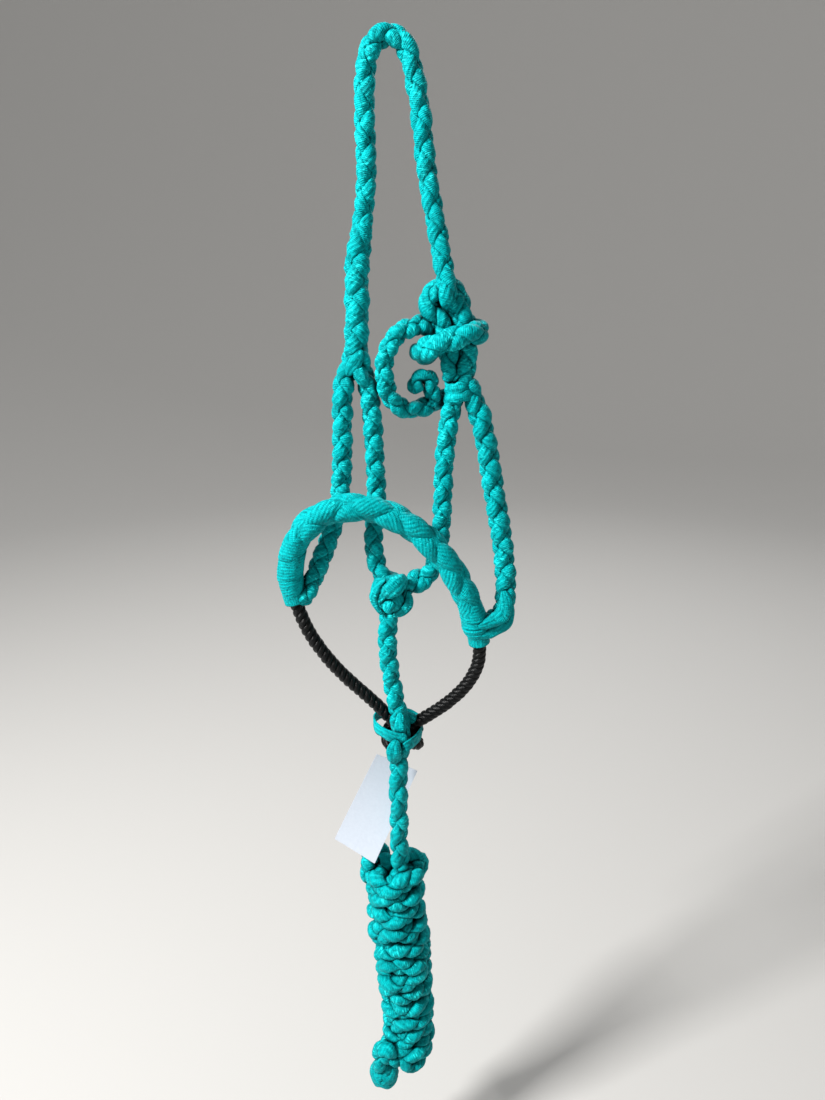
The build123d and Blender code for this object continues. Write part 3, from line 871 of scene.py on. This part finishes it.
seizing = Sheath()
plain_tube(seizing, np.linspace((0.003, 0.002, -0.482), (0.004, 0.004, -0.503), 30),
           0.0085 * np.sin(np.linspace(0.5, pi - 0.4, 30)) ** 0.5, 24)
lobes(seizing, (
    ([(0.0030, -0.0070, -0.4765), (0.0032, -0.0115, -0.484), (0.0028, -0.0130, -0.4925),
      (0.0025, -0.0120, -0.500)], 0.0050, 0.0026, 9),
    ([(0.0075, 0.0030, -0.484), (0.0140, 0.0030, -0.4885), (0.0165, 0.005, -0.4945)], 0.0046, 0.0028, 5),
    ([(0.0060, -0.0060, -0.488), (0.0085, -0.0085, -0.496), (0.0075, -0.0095, -0.505)], 0.0040, 0.0028, 6),
))
shown_on(seizing.object("heel_seizing_turns", teal_braid), "noseband", "teal_knot", "heel_seizing")

HEEL_KNOT_AT = np.array((0.0058, 0.010, -0.5085))
lap = np.linspace(0, 2 * pi, 420)
heel_knot_line = HEEL_KNOT_AT + np.stack([
    0.0122 * np.cos(2 * lap) * (1 + 0.16 * np.sin(3 * lap)),
    0.0118 * np.sin(2 * lap) * (1 + 0.16 * np.sin(3 * lap)),
    0.0060 * np.cos(3 * lap),
], axis=-1)
knot = Sheath()
laid(knot, heel_knot_line, 0.0102, seed=5)
shown_on(knot.object("heel_knot_turns", black_rope), "noseband", "black_lariat", "heel_knot")

COLLAR_POINTS = [
    (0.0085, -0.0165, -0.4970), (0.003, -0.0175, -0.4950), (-0.0065, -0.0150, -0.4932),
    (-0.0175, -0.006, -0.4912), (-0.0190, 0.010, -0.491), (-0.012, 0.026, -0.494), (0.0035, 0.030, -0.497),
    (0.018, 0.026, -0.499), (0.0220, 0.010, -0.5005), (0.0195, -0.003, -0.5010), (0.0130, -0.0140, -0.5010),
    (0.0080, -0.0185, -0.5015), (0.0045, -0.0190, -0.5045),
]
collar = Sheath()
collar_line, _ = smooth_line(COLLAR_POINTS, 0.0007)
collar_out = unit((collar_line - np.array((0.0035, 0.008, 0))) * (1, 1, 0))
tape_bundle(collar, collar_line, collar_out, 0.0054, 0.0010, 3)
shown_on(collar.object("collar_tape", teal_tape), "noseband", "teal_tape", "lead_loop")

neck = Sheath()
turks_head(neck, LEAD_TOP, (0.0056, 0.0052, 0.0058), 3, 2, 0.0040, 0.0024, 0.06, 4)
over_collar = [(0.0, -0.0190, -0.4950), (-0.0020, -0.0225, -0.4985), (-0.0030, -0.0230, -0.507),
               (-0.0015, -0.0190, -0.516)]
lobe(neck, over_collar, 0.0066, 0.0038, 5, blunt=0.4)
shown_on(neck.object("lead_neck_lobes", teal_braid), "lead_neck", "teal_knot", "lead_neck")

# ---- the hank ----
HANK_Y = -0.001
HANK_DEPTH_RATIO = 0.86
HANK_LEVELS = [  # height, middle across and half width, from the top down
    (-0.636, -0.0025, 0.0265), (-0.688, -0.0015, 0.028), (-0.728, 0.0015, 0.0285), (-0.768, 0.0055, 0.0265),
    (-0.800, 0.008, 0.025), (-0.824, 0.0065, 0.026), (-0.843, 0.004, 0.026),
]
WRAP_PITCH = 0.0176  # down the hank, for each turn
WRAP_POINTS = 14  # of the route, for each turn
HANK_TOP, HANK_FOOT = -0.636, -0.852  # where the turns begin and end
HANK_INSIDE = [
    HANK_PIVOT, (-0.001, -0.007, -0.650), (-0.005, -0.005, -0.700), (-0.002, -0.004, -0.750),
    (0.002, -0.004, -0.800), (0.003, -0.003, -0.822), (0.006, 0.001, -0.834), (0.010, 0.004, -0.822),
    (0.012, 0.004, -0.800), (0.006, 0.004, -0.750), (-0.002, 0.004, -0.700), (-0.0105, 0.008, -0.664),
    (-0.0115, 0.010, -0.646), (-0.0115, 0.011, -0.6270), (-0.0275, 0.011, -0.6270),
    (-0.0250, 0.009, -0.650), (-0.0180, 0.004, -0.672), (-0.004, 0.002, -0.684), (0.0015, 0.005, -0.668),
    (0.0025, 0.006, -0.648), (0.0030, 0.006, -0.6300), (0.0190, 0.004, -0.6300), (0.0195, 0.001, -0.6360),
]
HANK_END = [
    (-0.0150, -0.0175, -0.820), (-0.0190, -0.0165, -0.834), (-0.0185, -0.0140, -0.848),
    (-0.0160, -0.0115, -0.861),
]
END_KNOT_AT = (-0.0165, -0.011, -0.8640)


def hank_route():
    """Down inside, up again, over in the two standing bends, and round and round from the top down."""
    heights, centres, halves = (np.array(c)[::-1] for c in zip(*HANK_LEVELS))
    route = list(HANK_INSIDE)
    turns = (HANK_TOP - HANK_FOOT) / WRAP_PITCH
    for k in range(round(turns * WRAP_POINTS)):
        turn = k / WRAP_POINTS
        angle = 2 * pi * turn + 0.15
        level = HANK_TOP - WRAP_PITCH * turn
        half = (
            np.interp(level, heights, halves) - 0.6 * LEAD_D
            + 0.0010 * sin(5.3 * turn) + 0.0006 * sin(2.3 * turn)
        )
        tilt = 0.34 * (turn / turns - 0.42) + 0.13 * sin(2.1 * turn + 1) + 0.08 * sin(5.7 * turn)
        x = half * cos(angle)
        route.append((
            float(np.interp(level, heights, centres) + x),
            HANK_Y - HANK_DEPTH_RATIO * half * sin(angle),
            level + tilt * x + 0.0019 * sin(3.1 * turn + 2 * angle),
        ))
    return route + HANK_END


hank_line, hank_gone = smooth_line(hank_route(), 0.0016)
hank = Sheath()
plain_tube(hank, hank_line, 0.0045, 8)
plait(
    hank, hank_line, hank_gone, 0.66 * LEAD_D, 0.0245, seed=51, columns=16, step=0.0020,
    frame_of=carried_frame, pillow=0.0034, lift=0.0032,
)
hank = hank.object("lead_hank_rope", teal_braid)
shown_on(hank, "hank", "teal_braid", "lead_hank", "lead_bights", "lead_end")

knot = Sheath()
turks_head(knot, END_KNOT_AT, (0.0112, 0.0095, 0.0092), 3, 4, 0.0058, 0.0034, 0.10, 6)
turks_head(knot, END_KNOT_AT, (0.0065, 0.006, 0.0060), 2, 3, 0.0050, 0.0036, 0.05, 8)
end_knot = knot.object("lead_end_knot_turns", teal_braid)
shown_on(end_knot, "hank", "teal_knot", "lead_end_knot")

# ---- the swing tag ----
TAG_PIVOT = np.array((0.004, 0.007, -0.524))
TAG_TILT = radians(24.8)
TAG_LEAN = radians(3.5)
TAG_SIZE = (0.038, 0.092, 0.0005)
TAG_HOLE_R = 0.0022
TAG_HOLE_DROP = 0.015
TAG_HOLE_IN = 0.006
TAG_CORNER = 0.0008
card_across = np.array((cos(TAG_TILT), 0, -sin(TAG_TILT)))
card_up = np.array((sin(TAG_TILT) * cos(TAG_LEAN), sin(TAG_LEAN), cos(TAG_TILT) * cos(TAG_LEAN)))
card_face = np.cross(card_across, card_up)


def on_card(local):
    """Points given across the card, up it and out of its face, in the row frame."""
    local = np.asarray(local, float)
    return TAG_PIVOT + local[..., :1] * card_across + local[..., 1:2] * card_up + local[..., 2:] * card_face


def card_edge(angle):
    """The outline of the card as seen from its hole, at an angle: a rectangle with round corners."""
    half, top, foot = TAG_SIZE[0] / 2, TAG_HOLE_IN, TAG_HOLE_IN - TAG_SIZE[1]
    reach = np.linspace(0, 0.12, 2400)
    x, y = reach * cos(angle), reach * sin(angle)
    over_x = np.maximum(np.abs(x) - (half - TAG_CORNER), 0)
    over_y = np.maximum(np.maximum(y - (top - TAG_CORNER), (foot + TAG_CORNER) - y), 0)
    return float(reach[np.hypot(over_x, over_y) <= TAG_CORNER][-1])


card = Sheath()
corner_angles = [np.arctan2(y, x) for x in (-0.019, 0.019) for y in (TAG_HOLE_IN, TAG_HOLE_IN - TAG_SIZE[1])]
angles = np.sort(np.concatenate([np.linspace(-pi, pi, 88, endpoint=False)] + [
    a + np.linspace(-0.05, 0.05, 13) for a in corner_angles]))
steps = np.linspace(0, 1, 20)
columns = []
for a in angles:
    reach = TAG_HOLE_R + (card_edge(a) - TAG_HOLE_R) * steps**1.6
    x, y = reach * cos(a), -TAG_HOLE_DROP + reach * sin(a)
    curl = 0.3 * (y + TAG_HOLE_DROP) ** 2 + x * (0.06 - 3.6 * (y + 0.006)) + 1.2 * x**2
    front = np.stack([x, y, curl + TAG_SIZE[2] / 2], axis=-1)
    back = np.stack([x, y, curl - TAG_SIZE[2] / 2], axis=-1)
    columns.append(np.concatenate([front, back[::-1]]))
rings = on_card(np.array(columns))
card.tube(rings, 0.06 * angles, np.linspace(0, 0.1, rings.shape[1] + 1), ring_shaped=True)
card = card.object("swing_tag_card", white_card)
card.data.polygons.foreach_set("use_smooth", np.zeros(len(card.data.polygons), bool))
shown_on(card, "tag", "white_card", "hang_tag")

STRING_LOCAL = [
    (-0.0015, 0, 0.0008), (-0.002, -0.007, 0.0016), (-0.0008, -0.0134, 0.0022), (0, -0.0158, 0),
    (0.0008, -0.0134, -0.0022), (0.002, -0.007, -0.0016), (0.0015, 0, -0.0008),
]
string_line, _ = smooth_line([tuple(p) for p in on_card(STRING_LOCAL)], 0.0002)
string = Sheath()
laid(string, string_line, STRING_D, strands=2, lay=0.0022)
string = string.object("tag_string_twine", tag_twine)
shown_on(string, "tag", "string", "tag_string")


# ---- camera, floor and light ----
CAMERA_AT = Vector((-0.0045, -0.603, -0.1364))
LOOKING = Vector((0.0298, 0.9473, -0.319))
ROLL = radians(-0.42)
LENS = 27.03  # on a 36 mm sensor's long side, which is the picture's height


def make_camera():
    data = bpy.data.cameras.new("camera")
    data.lens = LENS
    data.sensor_width = 36.0
    camera = bpy.data.objects.new("camera", data)
    turn = LOOKING.to_track_quat("-Z", "Y").to_matrix() @ Matrix.Rotation(ROLL, 3, "Z")
    camera.matrix_world = Matrix.Translation(CAMERA_AT) @ turn.to_4x4()
    bpy.context.scene.collection.objects.link(camera)
    bpy.context.scene.camera = camera


def make_floor():
    """A round pale floor that sweeps up all round into a plain backdrop."""
    far, low, bend, wall, around = 5.0, -0.98, 2.5, 6.0, 96
    profile = [(0.0, low), (1.2, low), (far - bend, low)]
    profile += [
        (far - bend + bend * sin(a), low + bend * (1 - cos(a))) for a in np.linspace(0, pi / 2, 24)[1:]
    ]
    profile += [(far, low + bend + wall)]
    turns = np.arange(around) * 2 * pi / around
    points = [(out * cos(turn), out * sin(turn), z) for out, z in profile for turn in turns]
    faces = []
    for k in range(len(profile) - 1):
        for i in range(around):
            a, b = k * around + i, k * around + (i + 1) % around
            faces.append((a, b, b + around, a + around))
    mesh = bpy.data.meshes.new("floor")
    mesh.from_pydata(points, [], faces)
    mesh.polygons.foreach_set("use_smooth", np.ones(len(faces), bool))
    floor = bpy.data.objects.new("floor", mesh)
    bpy.context.scene.collection.objects.link(floor)
    n = Nodes("pale_floor")
    n.shader.inputs["Base Color"].default_value = (0.44, 0.435, 0.425, 1)
    n.shader.inputs["Emission Color"].default_value = (1.0, 0.985, 0.96, 1)
    n.shader.inputs["Emission Strength"].default_value = 0.11
    n.shader.inputs["Roughness"].default_value = 0.95
    n.shader.inputs["Specular IOR Level"].default_value = 0.1
    mesh.materials.append(n.material)


def area_light(name, at, aim, size, power, colour=(1, 1, 1)):
    data = bpy.data.lights.new(name, "AREA")
    data.shape = "SQUARE"
    data.size = size
    data.energy = power
    data.color = colour
    light = bpy.data.objects.new(name, data)
    light.location = at
    light.rotation_euler = (Vector(aim) - Vector(at)).to_track_quat("-Z", "Y").to_euler()
    bpy.context.scene.collection.objects.link(light)


def make_light():
    world = bpy.data.worlds.new("studio")
    bpy.context.scene.world = world
    world.use_nodes = True
    world.node_tree.nodes["Background"].inputs["Color"].default_value = (0.62, 0.64, 0.66, 1)
    world.node_tree.nodes["Background"].inputs["Strength"].default_value = 0.10
    middle = (0, 0, -0.45)
    area_light("key", (-1.30, -0.72, 0.85), middle, 0.4, 93, (1.0, 0.99, 0.97))
    area_light("fill", (1.6, -1.4, 0.2), middle, 1.4, 3, (0.95, 0.98, 1.0))
    area_light("rim", (0.6, 1.5, 0.9), middle, 1.0, 18)
    bpy.context.scene.view_settings.view_transform = "Standard"


make_camera()
make_floor()
make_light()
